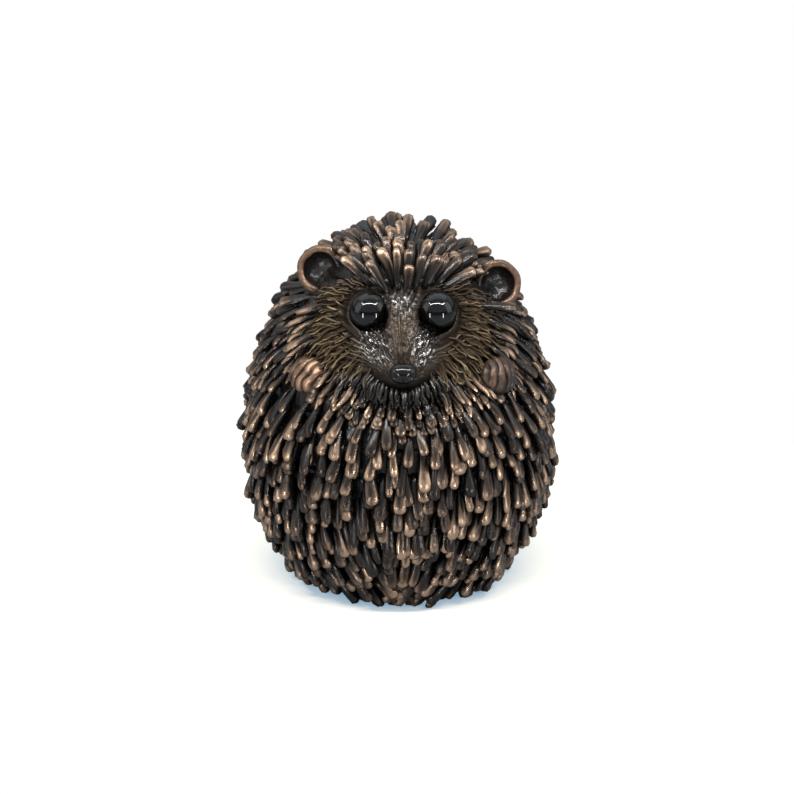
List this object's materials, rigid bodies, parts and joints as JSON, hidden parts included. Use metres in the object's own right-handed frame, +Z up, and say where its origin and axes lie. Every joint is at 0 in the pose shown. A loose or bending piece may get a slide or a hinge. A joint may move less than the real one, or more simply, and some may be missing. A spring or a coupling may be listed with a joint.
{
  "type": "hedgehog figurine",
  "caption": "Curled sitting hedgehog ornament in patinated cast bronze, with a coat of blunt quills, a furred face, bead eyes, cupped ears and small forepaws, standing on a flat felt base.",
  "frame": {"origin": "middle of the felt pad's underside, on the surface that the figurine stands on", "axes": "+Z up through the crown, the face looks along -Y, +X is the viewer's right"},
  "size_m": [0.0664, 0.0662, 0.0768],
  "materials": {
    "bronze_quills": "cast bronze, dark patina rubbed back on the raised quills, lacquered",
    "bronze_face": "cast bronze, olive-brown patina with combed fur, lacquered",
    "bronze_limbs": "cast bronze, rubbed bright, lacquered",
    "bronze_core": "cast bronze, dark patina",
    "black_glass": "polished black glass",
    "black_lacquer": "gloss black lacquer",
    "steel_wire": "drawn wire",
    "stone_filler": "cast stone powder in resin",
    "felt": "pressed black felt"
  },
  "bodies": {
    "root": {"quill_tier_01": "bronze_quills", "quill_tier_02": "bronze_quills", "quill_tier_03": "bronze_quills", "quill_tier_04": "bronze_quills", "quill_tier_05": "bronze_quills", "quill_tier_06": "bronze_quills", "quill_tier_07": "bronze_quills", "quill_tier_08": "bronze_quills", "quill_tier_09": "bronze_quills", "quill_tier_10": "bronze_quills", "quill_tier_11": "bronze_quills", "quill_tier_12": "bronze_quills", "quill_tier_13": "bronze_quills", "quill_tier_14": "bronze_quills", "quill_tier_15": "bronze_quills", "quill_tier_16": "bronze_quills", "face_mask": "bronze_face", "left_ear": "bronze_limbs", "right_ear": "bronze_limbs", "left_forepaw": "bronze_limbs", "right_forepaw": "bronze_limbs", "body_shell": "bronze_core", "left_eye": "black_glass", "right_eye": "black_glass", "nose": "black_lacquer", "left_eye_pin": "steel_wire", "right_eye_pin": "steel_wire", "stone_filler": "stone_filler", "felt_pad": "felt"}
  },
  "joints": []
}
